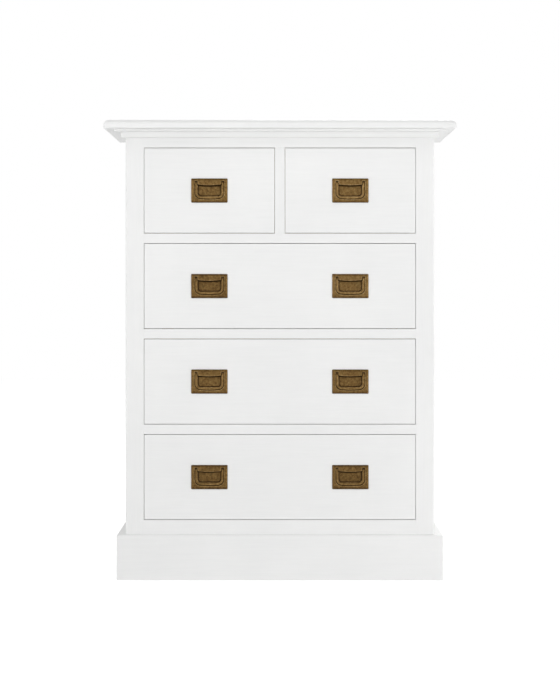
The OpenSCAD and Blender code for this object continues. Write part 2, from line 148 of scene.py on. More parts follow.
paintLook = {"low": (0.835, 0.838, 0.834, 1), "high": (0.885, 0.886, 0.880, 1), "stretch": 0.045,
             "grain": {"scale": 240.0, "detail": 6.0, "roughness": 0.62, "distortion": 0.5},
             "brush": {"scale": 1300.0, "detail": 3.0, "roughness": 0.7},
             "cloud": {"scale": 4.5, "detail": 3.0},
             "grainTone": 0.45, "toneRange": (0.32, 0.68),
             "sheenRange": (0.75, 1.25), "roughness": (0.36, 0.50),
             "grainHeight": 0.6, "bump": 0.00022}


def paintMaterial(name, axis):
    # satin paint: wood grain shows faintly along the board, under brush marks and a soft cloud
    look = paintLook
    made, tree = newMaterial(name)
    drawnOut = objectPlace(tree, squeeze=alongAxis(axis, look["stretch"]))
    grain = noise(tree, drawnOut, **look["grain"])
    brush = noise(tree, drawnOut, **look["brush"])
    cloud = noise(tree, objectPlace(tree), **look["cloud"])
    tone = spread(tree, shared(tree, grain, cloud, look["grainTone"]), look["toneRange"])
    colour = mixColour(tree, tone, look["low"], look["high"])
    sheen = combine(tree, "ADD", brush, cloud)
    roughness = spread(tree, sheen, look["sheenRange"], look["roughness"])
    height = shared(tree, grain, brush, look["grainHeight"])
    return finishMaterial(made, tree, colour, roughness, height, look["bump"])


woodLook = {"rings": {"Scale": 23.0, "Distortion": 17.0, "Detail": 2.0, "Detail Scale": 0.62,
                      "Detail Roughness": 0.5},
            "stretch": 0.13, "shift": (0.13, 0.09, 0.16),
            "fibre": {"scale": 900.0, "detail": 4.0, "roughness": 0.65},
            "pores": {"scale": 1500.0, "detail": 2.0, "roughness": 0.5}, "poreRange": (0.62, 0.72),
            "poreColour": (0.30, 0.18, 0.09, 1), "poreTone": 0.35, "poreDepth": 0.8,
            "ringTone": 0.75, "cloud": {"scale": 6.0, "detail": 3.0}, "shades": (0.88, 1.06),
            "roughness": (0.52, 0.68), "bump": 0.0003,
            "stops": [(0.0, 0.69, 0.51, 0.33), (0.5, 0.65, 0.47, 0.29),
                      (0.85, 0.57, 0.39, 0.23), (1.0, 0.54, 0.36, 0.20)],
            "drawerTint": (1.0, 1.0, 1.0, 1), "frameTint": (0.93, 0.90, 0.86, 1),
            "blockTint": (0.90, 0.86, 0.80, 1)}


def woodMaterial(name, axis, tint):
    # growth rings run round a line beside the board, so faces show long figure and ends show arcs
    look = woodLook
    made, tree = newMaterial(name)
    drawnOut = objectPlace(tree, look["shift"], alongAxis(axis, look["stretch"]))
    rings = addNode(tree, "TexWave", {"Vector": drawnOut, **look["rings"]},
                    wave_type="RINGS", rings_direction="XYZ"[axis]).outputs[1]
    fibre = noise(tree, drawnOut, **look["fibre"])
    pores = spread(tree, noise(tree, drawnOut, **look["pores"]), look["poreRange"])
    colour = ramp(tree, shared(tree, rings, fibre, look["ringTone"]), look["stops"])
    colour = clouded(tree, colour, look["cloud"], look["shades"])
    colour = mixColour(tree, 1.0, colour, tint, "MULTIPLY")
    dark = combine(tree, "MULTIPLY", pores, look["poreTone"])
    colour = mixColour(tree, dark, colour, look["poreColour"])
    roughness = spread(tree, fibre, noiseRange, look["roughness"])
    height = combine(tree, "SUBTRACT", fibre, combine(tree, "MULTIPLY", pores, look["poreDepth"]))
    return finishMaterial(made, tree, colour, roughness, height, look["bump"])


plyLook = {"figure": {"Scale": 16.0, "Distortion": 14.0, "Detail": 2.5, "Detail Scale": 0.55,
                      "Detail Roughness": 0.5},
           "stretch": 0.16, "fibreStretch": 0.04,
           "fibre": {"scale": 1100.0, "detail": 3.0, "roughness": 0.65},
           "figureTone": 0.7, "cloud": {"scale": 5.0, "detail": 2.0}, "shades": (0.92, 1.05),
           "roughness": (0.55, 0.70), "bump": 0.0002,
           "stops": [(0.0, 0.74, 0.59, 0.41), (0.45, 0.70, 0.54, 0.36),
                     (0.75, 0.62, 0.45, 0.28), (1.0, 0.73, 0.57, 0.39)]}


def plywoodMaterial(name, axis):
    # peeled veneer: wide wandering figure drawn out along the sheet, with fine fibres
    look = plyLook
    made, tree = newMaterial(name)
    drawnOut = objectPlace(tree, squeeze=alongAxis(axis, look["stretch"]))
    figure = addNode(tree, "TexWave", {"Vector": drawnOut, **look["figure"]},
                     wave_type="BANDS", bands_direction="DIAGONAL").outputs[1]
    thin = objectPlace(tree, squeeze=alongAxis(axis, look["fibreStretch"]))
    fibre = noise(tree, thin, **look["fibre"])
    colour = ramp(tree, shared(tree, figure, fibre, look["figureTone"]), look["stops"])
    colour = clouded(tree, colour, look["cloud"], look["shades"])
    roughness = spread(tree, fibre, noiseRange, look["roughness"])
    return finishMaterial(made, tree, colour, roughness, fibre, look["bump"])


brassLook = {"mottle": {"scale": 170.0, "detail": 5.0, "roughness": 0.62, "distortion": 0.6},
             "mottleRange": (0.28, 0.72), "mottleTones": (-0.22, 0.22),
             "fleck": {"scale": 900.0, "detail": 3.0, "roughness": 0.6},
             "fleckShift": (0.3, 0.1, 0.2), "fleckTones": (-0.12, 0.12), "fleckHeight": 0.6,
             "pits": {"scale": 2300.0, "detail": 2.0, "roughness": 0.6}, "pitShift": (0.1, 0.4, 0.6),
             "bloom": {"scale": 120.0, "detail": 4.0}, "bloomShift": (0.7, 0.2, 0.5),
             "bloomRange": (0.52, 0.70), "bloomShares": (0.0, 0.35),
             "bloomColour": (0.118, 0.088, 0.032, 1),
             "sheenRange": (0.2, 0.95), "roughness": (0.62, 0.30), "bump": 0.00022, "metal": 0.9,
             "stops": [(0.0, 0.030, 0.014, 0.004), (0.30, 0.080, 0.043, 0.012),
                       (0.50, 0.142, 0.082, 0.026), (0.72, 0.225, 0.140, 0.052),
                       (1.0, 0.440, 0.310, 0.150)]}


def brassMaterial(name):
    # darkened cast brass with a mottled patina: the relief attribute, low in hollows and high on
    # rubbed edges, moves its tone; on the plates it also holds painted shade along the rim and
    # borders
    look = brassLook
    made, tree = newMaterial(name)
    relief = addNode(tree, "Attribute", attribute_name="relief").outputs["Fac"]
    mottle = noise(tree, objectPlace(tree), **look["mottle"])
    fleck = noise(tree, objectPlace(tree, look["fleckShift"]), **look["fleck"])
    pits = noise(tree, objectPlace(tree, look["pitShift"]), **look["pits"])
    bloom = noise(tree, objectPlace(tree, look["bloomShift"]), **look["bloom"])
    tone = combine(tree, "ADD", spread(tree, mottle, look["mottleRange"], look["mottleTones"]),
                   spread(tree, fleck, noiseRange, look["fleckTones"]))
    tone = combine(tree, "ADD", tone, relief)
    greenish = spread(tree, bloom, look["bloomRange"], look["bloomShares"])
    colour = mixColour(tree, greenish, ramp(tree, tone, look["stops"]), look["bloomColour"])
    roughness = spread(tree, tone, look["sheenRange"], look["roughness"])
    height = shared(tree, fleck, pits, look["fleckHeight"])
    return finishMaterial(made, tree, colour, roughness, height, look["bump"], Metallic=look["metal"])


steelLook = {"cloud": {"scale": 260.0, "detail": 4.0, "roughness": 0.6}, "cloudRange": (0.35, 0.65),
             "marks": {"scale": 1600.0, "detail": 2.0, "roughness": 0.6}, "markSqueeze": (1, 6, 1),
             "zinc": (0.55, 0.56, 0.57, 1), "straw": (0.66, 0.62, 0.52, 1),
             "sheenRange": (0.7, 1.3), "roughness": (0.24, 0.44), "bump": 0.00008, "metal": 1.0}


def steelMaterial(name):
    # bright zinc with a faint straw cloud and turned marks
    look = steelLook
    made, tree = newMaterial(name)
    cloud = noise(tree, objectPlace(tree), **look["cloud"])
    marks = noise(tree, objectPlace(tree, squeeze=look["markSqueeze"]), **look["marks"])
    colour = mixColour(tree, spread(tree, cloud, look["cloudRange"]), look["zinc"], look["straw"])
    sheen = combine(tree, "ADD", cloud, marks)
    roughness = spread(tree, sheen, look["sheenRange"], look["roughness"])
    return finishMaterial(made, tree, colour, roughness, marks, look["bump"], Metallic=look["metal"])


paintAlong = [paintMaterial("paintAlong" + "XYZ"[axis], axis) for axis in (0, 1, 2)]
sideWood = woodMaterial("drawerWoodAlongY", 1, woodLook["drawerTint"])
backWood = woodMaterial("drawerWoodAlongX", 0, woodLook["drawerTint"])
frameWood = woodMaterial("runnerWood", 1, woodLook["frameTint"])
railWood = woodMaterial("railWood", 0, woodLook["frameTint"])
blockWood = woodMaterial("blockWood", 2, woodLook["blockTint"])
drawerPly = plywoodMaterial("plywoodAlongX", 0)
backPly = plywoodMaterial("plywoodAlongZ", 2)
brass = brassMaterial("antiqueBrass")
steel = steelMaterial("zincSteel")
print("materials made")


# --- meshes ---

closeBy = 1e-5  # points nearer than this lie on the same plane or line


def facesOut(points, faces):
    # the faces are turned round where the solid's signed volume is negative
    total = 0.0
    for group in faces:
        corners = points[group]
        total += np.einsum("mi,mki->", corners[:, 0], np.cross(corners[:, 1:-1], corners[:, 2:]))
    return faces if total > 0 else [group[:, ::-1] for group in faces]


def shellOfRings(rings):
    # rings is (m, n, 3): each ring joins the next with a band of quads, and flat caps close both ends
    count, around = rings.shape[:2]
    index = np.arange(count * around).reshape(count, around)
    low, high = index[:-1], index[1:]
    band = np.stack([low, np.roll(low, -1, 1), np.roll(high, -1, 1), high], -1).reshape(-1, 4)
    points = rings.reshape(-1, 3)
    return points, facesOut(points, [band, index[:1, ::-1], index[-1:]])


def joinShells(shells):
    # several closed shells in one mesh
    offsets = np.cumsum([0] + [len(points) for points, _ in shells])
    faces = [group + offset for (_, groups), offset in zip(shells, offsets) for group in groups]
    return np.concatenate([points for points, _ in shells]), faces


def meshPoints(mesh):
    points = np.zeros(3 * len(mesh.vertices))
    mesh.vertices.foreach_get("co", points)
    return points.reshape(-1, 3)


def placePiece(name, mesh, material, stands):
    # the piece stands for the CAD nodes named in stands, and rides on their body
    piece = bpy.data.objects.new(name, mesh)
    bpy.context.scene.collection.objects.link(piece)
    mesh.materials.clear()
    mesh.materials.append(material)
    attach(piece, bodyOf[stands[0]])
    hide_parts(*stands)
    return piece


def makePiece(name, shell, material, stands, sharpAngle=38.0, relief=None):
    # a new piece from a shell; relief gives the brass its tone at each point
    points, faces = shell
    mesh = bpy.data.meshes.new(name)
    mesh.from_pydata(points.tolist(), [], [face for group in faces for face in group.tolist()])
    mesh.update()
    mesh.shade_smooth()
    mesh.set_sharp_from_angle(angle=math.radians(sharpAngle))
    if relief is not None:
        tones = mesh.attributes.new("relief", "FLOAT", "POINT").data
        tones.foreach_set("value", relief.astype(np.float32))
    return placePiece(name, mesh, material, stands)


def flatShading(piece):
    # wide faces keep their own normal beside narrow rounded ones
    weighted = piece.modifiers.new("flatFaces", "WEIGHTED_NORMAL")
    weighted.keep_sharp = True
    weighted.weight = 100
    return piece


def easedProfile(corners, radii, steps):
    # each corner c becomes the parabola (1-t)^2 a + 2t(1-t) c + t^2 b, with a and b a radius away
    # along its sides; points that fall together are left once
    corners, radii = np.array(corners, float), np.array(radii, float)[:, None]
    before, after = np.roll(corners, 1, 0) - corners, np.roll(corners, -1, 0) - corners
    a = corners + radii * before / np.linalg.norm(before, axis=1, keepdims=True)
    b = corners + radii * after / np.linalg.norm(after, axis=1, keepdims=True)
    t = np.linspace(0, 1, steps + 1)[None, :, None]
    curve = (1 - t) ** 2 * a[:, None] + 2 * t * (1 - t) * corners[:, None] + t ** 2 * b[:, None]
    curve = curve.reshape(-1, 2)
    return curve[np.linalg.norm(curve - np.roll(curve, 1, 0), axis=1) > 1e-7]


def arc(centre, radius, start, end, steps):
    # points on a circle from one angle to another, in degrees
    angle = np.radians(np.linspace(start, end, steps + 1))
    return np.stack([centre[0] + radius * np.cos(angle), centre[1] + radius * np.sin(angle)], -1)


boardLook = {"outer": 0.0025, "inner": 0.0003, "front": 0.0008, "boxTop": 0.0015, "segments": 4,
             "merge": 1e-6, "flatAngle": 0.5, "sharpAngle": 30.0}


def mergedMesh(node, name):
    # a copy of a CAD node's loose triangles, merged, with its flat faces whole again
    work = bmesh.new()
    work.from_mesh(nodes[node].data)
    bmesh.ops.remove_doubles(work, verts=work.verts, dist=boardLook["merge"])
    bmesh.ops.dissolve_limit(work, angle_limit=math.radians(boardLook["flatAngle"]),
                             verts=work.verts, edges=work.edges)
    mesh = bpy.data.meshes.new(name)
    work.to_mesh(mesh)
    work.free()
    return mesh


def easedCopy(node, name, material, weigh, width):
    # a merged copy of a CAD node, with a Bevel on the edges that weigh(a, b, low, high) picks by
    # their ends a and b and the corners of the node's box; a weight under 1 makes it narrower
    mesh = mergedMesh(node, name)
    ends = np.zeros(2 * len(mesh.edges), int)
    mesh.edges.foreach_get("vertices", ends)
    points = meshPoints(mesh)
    a, b = points[ends[::2]], points[ends[1::2]]
    weights = weigh(a, b, points.min(0), points.max(0)).astype(np.float32)
    mesh.shade_smooth()
    mesh.set_sharp_from_angle(angle=math.radians(boardLook["sharpAngle"]))
    sharp = np.zeros(len(weights), bool)
    mesh.edges.foreach_get("use_edge_sharp", sharp)
    mesh.edges.foreach_set("use_edge_sharp", sharp & (weights == 0))
    mesh.attributes.new("bevel_weight_edge", "FLOAT", "EDGE").data.foreach_set("value", weights)
    piece = placePiece(name, mesh, material, [node])
    bevel = piece.modifiers.new("easedEdges", "BEVEL")
    bevel.limit_method, bevel.width, bevel.segments = "WEIGHT", width, boardLook["segments"]
    bevel.use_clamp_overlap = False
    return flatShading(piece)


def onPlane(a, b, axis, value):
    # edges whose two ends lie on a plane square to an axis
    return (abs(a[:, axis] - value) < closeBy) & (abs(b[:, axis] - value) < closeBy)


def alongX(a, b):
    # edges whose two ends have the same depth and height
    return (abs(a[:, 1] - b[:, 1]) < closeBy) & (abs(a[:, 2] - b[:, 2]) < closeBy)


# --- top board, cornice and plinth ---

topLook = {"edge": 0.0145, "corner": 0.003, "foot": 0.0012,
           "edgeSteps": 14, "cornerSteps": 6, "footSteps": 3}


def cornerRing(low, high, corner):
    # outline of a board in plan: square at the back, quarter circles at the front corners
    steps = topLook["cornerSteps"]
    left = arc((low[0] + corner, low[1] + corner), corner, 180, 270, steps)
    right = arc((high[0] - corner, low[1] + corner), corner, 270, 360, steps)
    return np.concatenate([left, right, [[high[0], high[1]], [low[0], high[1]]]])


def topBoard():
    # rings of the board's outline, drawn in at the front and sides by the edge's profile:
    # inset = r(1 - cos a), height = top - r(1 - sin a), and the same upside down at the foot
    look = topLook
    low, high = (np.array(corner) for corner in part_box("top_board"))
    turn = np.radians(np.linspace(0, 90, look["edgeSteps"] + 1))
    foot = np.radians(np.linspace(90, 0, look["footSteps"] + 1))
    inset = np.concatenate([look["foot"] * (1 - np.cos(foot)), look["edge"] * (1 - np.cos(turn))])
    height = np.concatenate([low[2] + look["foot"] * (1 - np.sin(foot)),
                             high[2] - look["edge"] * (1 - np.sin(turn))])
    rings = [cornerRing(low[:2] + (d, d), high[:2] - (d, 0), look["corner"]) for d in inset]
    rings = [np.c_[ring, np.full(len(ring), z)] for ring, z in zip(rings, height)]
    flatShading(makePiece("topBoard", shellOfRings(np.array(rings)), paintAlong[0], ["top_board"]))


corniceLook = {"fillet": 0.006, "filletOut": 0.0275, "bandOut": 0.011, "bandHeight": 0.0155,
               "bandRadius": 0.0015, "ease": 0.0006, "corner": 0.0006, "steps": 5}
plinthLook = {"edge": 0.003, "ease": 0.0012, "corner": 0.004, "steps": 6}
cornerCount = 5  # rings in each half of a mitred corner


def corniceProfile(top):
    # fillet and flat band, as (out, height) from the carcass face
    look = corniceLook
    shelf = top - look["fillet"]
    foot = shelf - look["bandHeight"]
    corners = [(0, top), (look["filletOut"], top), (look["filletOut"], shelf),
               (look["bandOut"], shelf), (look["bandOut"], foot), (0, foot)]
    ease = look["ease"]
    return easedProfile(corners, [0, ease, ease, ease, look["bandRadius"], 0], look["steps"])


def plinthProfile(thick, high):
    # a flat board with its outer edges rounded, the upper one more
    look = plinthLook
    corners = [(0, 0), (thick, 0), (thick, high), (0, high)]
    return easedProfile(corners, [0, look["ease"], look["edge"], 0], look["steps"])


def cornerRings(profile, halfWidth, frontY, corner, angles):
    # rings round the right-hand corner: a radius r = corner - (widest out - out), and at angle a
    # from the front x = halfWidth + out - r(1 - sin a), y = frontY - out + r(1 - cos a);
    # 45 degrees is the mitre
    out, z = profile.T
    r = np.maximum(corner - out.max() + out, 0)
    turn = np.radians(np.linspace(*angles, cornerCount))[:, None]
    x = halfWidth + out - r * (1 - np.sin(turn))
    y = frontY - out + r * (1 - np.cos(turn))
    return np.stack([x, y, np.broadcast_to(z, x.shape)], -1)


def frontRun(profile, halfWidth, frontY, corner):
    # a profile carried along the front between the two mitres
    right = cornerRings(profile, halfWidth, frontY, corner, (0, 45))
    return shellOfRings(np.concatenate([right[::-1] * (-1, 1, 1), right]))


def sideRun(profile, halfWidth, frontY, backY, corner, side):
    # a profile carried from its mitre straight back
    rings = cornerRings(profile, halfWidth, frontY, corner, (45, 90))
    last = rings[-1:].copy()
    last[..., 1] = backY
    return shellOfRings(np.concatenate([rings, last]) * (side, 1, 1))


def mouldings():
    carcassLow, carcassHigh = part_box("stile_left")[0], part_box("stile_right")[1]
    halfWidth, frontY, backY = carcassHigh.x, carcassLow.y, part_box("side_left")[1].y
    plinthLow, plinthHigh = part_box("plinth_front")
    profiles = {"cornice": (corniceProfile(carcassHigh.z), corniceLook["corner"]),
                "plinth": (plinthProfile(frontY - plinthLow.y, plinthHigh.z), plinthLook["corner"])}
    for kind, (profile, corner) in profiles.items():
        run = frontRun(profile, halfWidth, frontY, corner)
        flatShading(makePiece(kind + "Front", run, paintAlong[0], [kind + "_front"]))
        for side, word in ((-1, "left"), (1, "right")):
            run = sideRun(profile, halfWidth, frontY, backY, corner, side)
            flatShading(makePiece(kind + word.title(), run, paintAlong[1], [kind + "_" + word]))


topBoard()
mouldings()
print("top board, cornice and plinth done")


# --- carcass boards ---

def stileEdges(a, b, low, high):
    # the outer front edge is rounded more than the one at the openings
    outerX, innerX = (low[0], high[0]) if low[0] < 0 else (high[0], low[0])
    small = boardLook["inner"] / boardLook["outer"]
    share = onPlane(a, b, 0, outerX) * 1.0 + onPlane(a, b, 0, innerX) * small
    return onPlane(a, b, 1, low[1]) * share


def railEdges(a, b, low, high):
    return onPlane(a, b, 1, low[1]) & alongX(a, b)


def topRailEdges(a, b, low, high):
    return onPlane(a, b, 1, low[1]) & onPlane(a, b, 2, low[2])


def bottomRailEdges(a, b, low, high):
    return onPlane(a, b, 1, low[1]) & onPlane(a, b, 2, high[2])


def uprightEdges(a, b, low, high):
    return onPlane(a, b, 1, low[1]) & (onPlane(a, b, 0, low[0]) | onPlane(a, b, 0, high[0]))


def sideEdges(a, b, low, high):
    return onPlane(a, b, 1, high[1]) & onPlane(a, b, 0, low[0] if low[0] < 0 else high[0])


def carcassBoards():
    inner, outer = boardLook["inner"], boardLook["outer"]
    for word in ("left", "right"):
        easedCopy("stile_" + word, "stile" + word.title(), paintAlong[2], stileEdges, outer)
        easedCopy("side_" + word, "side" + word.title(), paintAlong[2], sideEdges, outer)
    easedCopy("top_rail", "topRail", paintAlong[0], topRailEdges, inner)
    easedCopy("divider_rails", "dividerRails", paintAlong[0], railEdges, inner)
    easedCopy("bottom_rail", "bottomRail", paintAlong[0], bottomRailEdges, inner)
    easedCopy("center_muntin", "centerMuntin", paintAlong[2], uprightEdges, inner)


def dress(node, material):
    # a CAD node that stays in view gets its finish
    nodes[node].data.materials.clear()
    nodes[node].data.materials.append(material)


innerParts = {"back_panel": backPly, "bottom_board": drawerPly, "drawer_runners": frameWood,
              "rear_rails": railWood, "glue_blocks": blockWood, "drawer_stops": railWood}

carcassBoards()
for node, material in innerParts.items():
    dress(node, material)
print("carcass done")


# --- drawers ---

def frontEdges(a, b, low, high):
    # the four edges round a drawer front's face
    ends = onPlane(a, b, 0, low[0]) | onPlane(a, b, 0, high[0])
    return onPlane(a, b, 1, low[1]) & (ends | onPlane(a, b, 2, low[2]) | onPlane(a, b, 2, high[2]))


def upperEdges(a, b, low, high):
    return onPlane(a, b, 2, high[2])


def drawerBoxes():
    for name in drawerNames:
        easedCopy(name + "_front", name + "Front", paintAlong[0], frontEdges, boardLook["front"])
        easedCopy(name + "_sides", name + "Sides", sideWood, upperEdges, boardLook["boxTop"])
        easedCopy(name + "_back", name + "Back", backWood, upperEdges, boardLook["boxTop"])
        dress(name + "_bottom", drawerPly)


drawerBoxes()
print("drawers done")


# --- pulls, in millimetres: right, up and out from the middle of the plate on the drawer front ---

pullLook = {"width": 95.5, "height": 63.5, "thick": 3.0, "round": 2.5, "roundSteps": 6, "cell": 0.5,
            "sharpAngle": 80.0,
            "trayWidth": 86.0, "trayHeight": 55.0, "trayDepth": 10.5,
            "pocketFloor": -2.5, "groove": 3.9, "notchTop": 24.6, "wall": 0.5,
            "lipWidth": 62.4, "lipLow": 13.8, "lipBow": 2.0,
            "cupFloor": -8.0, "cupWidth": 64.0, "cupLow": -15.8, "cupRound": 10.0, "cupWall": 1.5,
            "cast": 0.05, "castCells": (6.0, 1.7), "fineCast": 0.5, "firstSeed": 11,
            "tone": 0.50, "trayTone": 0.3, "crestBlur": 5, "crestTones": (-0.25, 0.22),
            "hollowBlur": 30, "hollowShare": 0.11, "hollowTones": (-0.22, 0.08),
            # the border and rim darkening set here is painted shade on the plates
            "borderWidth": 6.0, "borderPaintedShade": 0.28, "rimFrom": 0.3, "rimPaintedShade": 0.12}
bailLook = {"armX": 34.9, "corner": 12.0, "bow": 6.0, "low": -19.4, "pivotUp": 19.8, "pivotOut": 0.5,
            "halfWidth": 2.6, "halfThick": 2.2, "squareness": 2.7, "sectionCount": 24,
            "armRings": 10, "cornerSteps": 14, "bowSteps": 12,
            "knuckle": 2.5, "knuckleEase": 0.5, "knuckleStep": 0.4, "knuckleHollow": 1.2,
            "pin": 1.6, "pinEnd": 41.3, "pinEase": 0.4,
            "tone": 0.46, "knuckleTone": 0.42, "frontRub": 0.14,
            "middleRub": 0.06, "middleReach": 16.0, "middleTop": -10.0}

# how much each drawer's pulls, left then right, are darker (below 0) or brighter than the rest
pullToneOffset = {"small_left": (-0.045,), "small_right": (0.015,), "upper": (-0.10, 0.0),
               "middle": (-0.05, -0.05), "lower": (-0.095, -0.095)}


def bailCurve():
    # centres of the corners and of the bow, which meets each corner at the bow angle
    look = bailLook
    turn = math.radians(look["bow"])
    cornerX = look["armX"] - look["corner"]
    bowRadius = (cornerX + look["corner"] * math.sin(turn)) / math.sin(turn)
    bowY = look["low"] + bowRadius
    cornerY = bowY - (bowRadius - look["corner"]) * math.cos(turn)
    return cornerX, cornerY, bowY, bowRadius


def bailDistance(u, v):
    # distance outside the middle line of the bail's outline: arms above, corners, then the bow
    cornerX, cornerY, bowY, bowRadius = bailCurve()
    side = abs(u)
    arm = side - bailLook["armX"]
    corner = np.hypot(side - cornerX, v - cornerY) - bailLook["corner"]
    bow = np.hypot(u, v - bowY) - bowRadius
    inBow = side < (bowY - v) * math.tan(math.radians(bailLook["bow"]))
    return np.where(v > cornerY, arm, np.where(inBow, bow, corner))


def lipDistance(u, v):
    # distance outside the lip, whose lower edge is a shallow bow
    look = pullLook
    half, bow = look["lipWidth"] / 2, look["lipBow"]
    radius = (half ** 2 + bow ** 2) / (2 * bow)
    return np.maximum(abs(u) - half, np.hypot(u, v - look["lipLow"] - radius) - radius)


def cupDistance(u, v):
    # distance outside a rounded box that is open upwards
    look = pullLook
    r = look["cupRound"]
    x = np.maximum(abs(u) - (look["cupWidth"] / 2 - r), 0)
    y = np.maximum(look["cupLow"] + r - v, 0)
    return np.hypot(x, y) - r


def stepDown(distance, width):
    # 0 outside an outline to 1 inside it, along an S curve of that half width
    t = np.clip(0.5 - distance / (2 * width), 0, 1)
    return t * t * (3 - 2 * t)


def cloudField(u, v, cell, rng):
    # smooth seeded noise: random values on a coarse lattice, blended by (3 - 2t)t^2 in between
    size = 64
    lattice = rng.uniform(-1, 1, (size, size))
    x, y = u / cell + 200, v / cell + 200
    i, j = np.floor(x).astype(int), np.floor(y).astype(int)
    s, t = x - i, y - j
    s, t = s * s * (3 - 2 * s), t * t * (3 - 2 * t)
    a, b = lattice[i % size, j % size], lattice[(i + 1) % size, j % size]
    c, d = lattice[i % size, (j + 1) % size], lattice[(i + 1) % size, (j + 1) % size]
    return (a * (1 - s) + b * s) * (1 - t) + (c * (1 - s) + d * s) * t


def blurred(field, passes):
    # each pass averages a point with its four neighbours, itself counted twice
    for _ in range(passes):
        wide = np.pad(field, 1, mode="edge")
        field = (wide[:-2, 1:-1] + wide[2:, 1:-1] + wide[1:-1, :-2] + wide[1:-1, 2:] + 2 * field) / 6
    return field


def gridLines(half):
    # lines across the plate, closer over its rounded rim
    look = pullLook
    turn = np.radians(np.linspace(0, 90, look["roundSteps"] + 1))
    rim = half - look["round"] * (1 - np.cos(turn))
    inner = np.linspace(-rim[-1], rim[-1], int(2 * rim[-1] / look["cell"]) + 1)
    return np.concatenate([-rim[:-1], inner, rim[:-1][::-1]])


def plateGrid():
    # places over the plate, the square at each corner drawn in to a quarter disc; rim is 0 on the
    # flat face and grows to the radius of the round at the plate's outline
    look = pullLook
    halfW, halfH, r = look["width"] / 2, look["height"] / 2, look["round"]
    u, v = np.meshgrid(gridLines(halfW), gridLines(halfH), indexing="ij")
    x, y = np.maximum(abs(u) - halfW + r, 0), np.maximum(abs(v) - halfH + r, 0)
    length = np.maximum(np.hypot(x, y), 1e-9)
    pull = np.where((x > 0) & (y > 0), np.maximum(x, y) / length, 1.0)
    u = np.sign(u) * (np.minimum(abs(u), halfW - r) + x * pull)
    v = np.sign(v) * (np.minimum(abs(v), halfH - r) + y * pull)
    return u, v, np.clip(np.hypot(x * pull, y * pull), 0, r)


def plateHeight(u, v, rim, seed):
    # thick - r + sqrt(r^2 - rim^2) for the face and its round, stepped down inside the outlines of
    # the pocket and the cup but not under the lip, plus the unevenness of the casting
    look = pullLook
    rng = np.random.default_rng(seed)
    r = look["round"]
    height = look["thick"] - r + np.sqrt(np.maximum(r * r - rim * rim, 0))
    lip = lipDistance(u, v)
    pocket = np.maximum(np.maximum(bailDistance(u, v) - look["groove"], v - look["notchTop"]), -lip)
    cup = np.maximum(cupDistance(u, v), -lip)
    inPocket, inCup = stepDown(pocket, look["wall"]), stepDown(cup + look["cupWall"], look["cupWall"])
    height = height * (1 - inPocket) + look["pocketFloor"] * inPocket
    height = height * (1 - inCup) + look["cupFloor"] * inCup
    inside = np.clip((r - rim) / r, 0, 1)
    coarse, fine = [cloudField(u, v, cell, rng) for cell in look["castCells"]]
    height = height + look["cast"] * inside * (coarse + look["fineCast"] * fine)
    return np.minimum(height, look["thick"])


def plateReliefAndShade(v, rim, height):
    # crests are rubbed bright and hollows stay dark, both as the height less its own blur;
    # painted shade keeps the upper and lower borders darker than the ends and darkens the rounded rim
    look = pullLook
    crest = np.clip(height - blurred(height, look["crestBlur"]), *look["crestTones"])
    hollow = (height - blurred(height, look["hollowBlur"])) * look["hollowShare"]
    border = np.clip(1 - (look["height"] / 2 - abs(v)) / look["borderWidth"], 0, 1)
    relief = look["tone"] + crest + np.clip(hollow, *look["hollowTones"])
    # painted shade along the upper and lower borders, then on the rounded rim
    relief = relief - look["borderPaintedShade"] * border * (2 - border)
    return relief - look["rimPaintedShade"] * np.clip(rim / look["round"] - look["rimFrom"], 0, 1)


def pullPlate(seed):
    # the face is a height over the grid; its outline is carried back round the plate and the tray
    look = pullLook
    u, v, rim = plateGrid()
    height = plateHeight(u, v, rim, seed)
    face = np.stack([u, v, height], -1).reshape(-1, 3)
    index = np.arange(len(face)).reshape(u.shape)
    quads = np.stack([index[:-1, :-1], index[1:, :-1], index[1:, 1:], index[:-1, 1:]], -1)
    outline = np.concatenate([index[:-1, 0], index[-1, :-1], index[:0:-1, -1], index[0, :0:-1]])
    tray = face[outline] * (look["trayWidth"] / look["width"], look["trayHeight"] / look["height"], 0)
    behind = np.stack([face[outline] * (1, 1, 0), tray, tray - (0, 0, look["trayDepth"])])
    added = np.arange(behind[..., 0].size).reshape(3, -1) + len(face)
    ring = np.concatenate([outline[None], added])
    band = np.stack([ring[:-1], np.roll(ring[:-1], -1, 1), np.roll(ring[1:], -1, 1), ring[1:]], -1)
    relief = [plateReliefAndShade(v, rim, height).ravel(), np.full(added.size, look["trayTone"])]
    faces = [quads.reshape(-1, 4), band.reshape(-1, 4)[:, ::-1], ring[-1:]]
    return np.concatenate([face, behind.reshape(-1, 3)]), faces, np.concatenate(relief)


